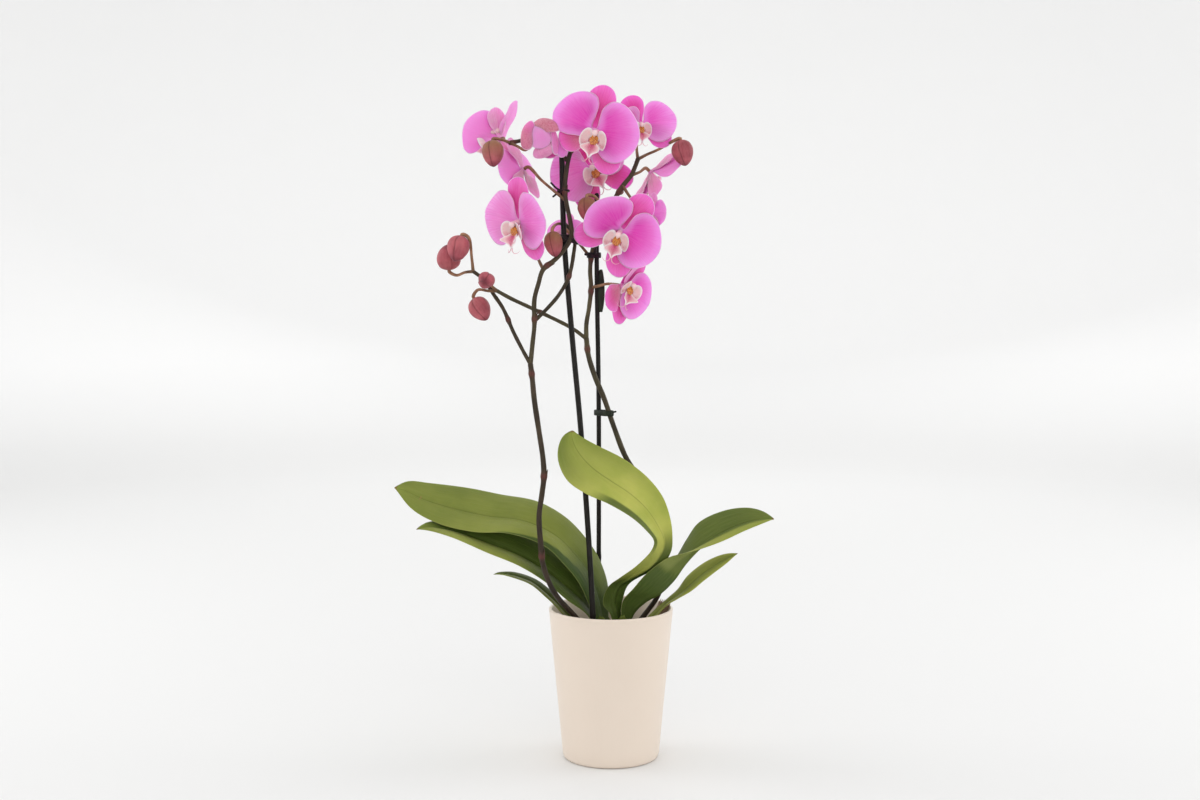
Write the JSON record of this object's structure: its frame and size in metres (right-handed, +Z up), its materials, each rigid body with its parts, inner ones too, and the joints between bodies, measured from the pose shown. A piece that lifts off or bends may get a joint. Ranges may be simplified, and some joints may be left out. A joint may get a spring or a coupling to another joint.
{
  "type": "potted moth orchid",
  "caption": "Moth orchid in a tapered ceramic pot, with staked, branched spikes of flat pink blooms and buds over strap leaves.",
  "frame": {"origin": "middle of the pot's flat underside", "axes": "+Z up along the pot's axis; -Y towards the side that the plant shows; +X to the viewer's right"},
  "size_m": [0.4023, 0.1319, 0.7051],
  "materials": {
    "pot": "pale pinkish beige ceramic with a soft satin glaze",
    "liner": "thin clouded plastic of a nursery pot",
    "bark": "coarse brown bark chips",
    "leaf": "thick waxy leaf, darker below",
    "stem": "dark brown to olive stem, satin",
    "stake": "near-black plant stake",
    "clip": "dark soft plastic and wire plant ties",
    "tepal": "soft velvety magenta-pink petal with a paler rim",
    "lip": "pale pink lip with a yellow and rust heart",
    "bud": "closed bud, dusky rose with brown seams"
  },
  "bodies": {
    "root": {"pot": "pot", "nursery_pot": "liner", "bark": "bark", "crown": "leaf", "leaf_1": "leaf", "leaf_2": "leaf", "leaf_3": "leaf", "leaf_4": "leaf", "leaf_5": "leaf", "leaf_6": "leaf", "spike_left": "stem", "spike_right": "stem", "stake_left": "stake", "stake_right": "stake", "clip_1": "clip", "clip_2": "clip", "clip_3": "clip", "clip_4": "clip", "clip_5": "clip", "side_clip": "clip", "bloom_1": "tepal", "bloom_2": "tepal", "bloom_3": "tepal", "bloom_4": "tepal", "bloom_5": "tepal", "bloom_6": "tepal", "bloom_7": "tepal", "bloom_8": "tepal", "bloom_9": "tepal", "bloom_10": "tepal", "bloom_11": "tepal", "bloom_half_open": "tepal", "bloom_1_lip": "lip", "bloom_2_lip": "lip", "bloom_3_lip": "lip", "bloom_4_lip": "lip", "bloom_5_lip": "lip", "bloom_6_lip": "lip", "bloom_7_lip": "lip", "bloom_8_lip": "lip", "bloom_9_lip": "lip", "bloom_10_lip": "lip", "bloom_11_lip": "lip", "bud_1": "bud", "bud_2": "bud", "bud_3": "bud", "bud_4": "bud", "bud_5": "bud", "bud_6": "bud", "bud_7": "bud", "bud_8": "bud"}
  },
  "joints": []
}
